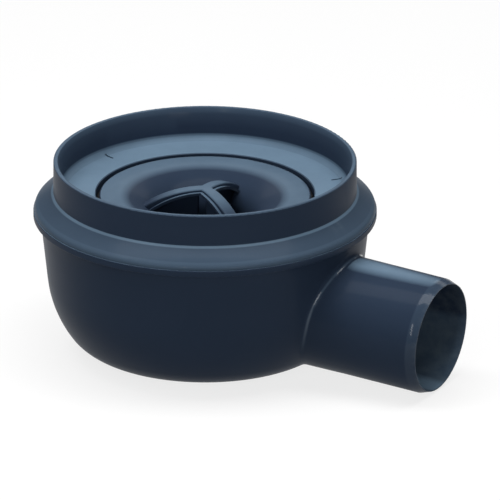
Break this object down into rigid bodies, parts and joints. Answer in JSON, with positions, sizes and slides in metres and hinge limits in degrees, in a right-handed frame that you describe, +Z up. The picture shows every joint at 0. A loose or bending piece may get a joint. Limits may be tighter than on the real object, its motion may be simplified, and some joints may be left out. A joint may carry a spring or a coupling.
{
  "type": "floor drain",
  "caption": "Round floor drain with a falling side outlet, a collar for the riser of a grate, a stepped ledge inside and a lift-out water trap with an arched, spoked grip.",
  "frame": {"origin": "centre of the pot's flat underside, on the axis of the collar", "axes": "+Z up along the axis of the collar, +X towards the outlet"},
  "size_m": [0.1875, 0.146, 0.085],
  "materials": {
    "drain_body": "satin moulded polypropylene, blue-black",
    "trap": "satin moulded polypropylene, blue-black",
    "seal": "black ring seal"
  },
  "bodies": {
    "root": {"pot": "drain_body", "collar": "drain_body", "trap_funnel": "trap", "trap_cup": "trap", "trap_seal": "seal"}
  },
  "joints": []
}
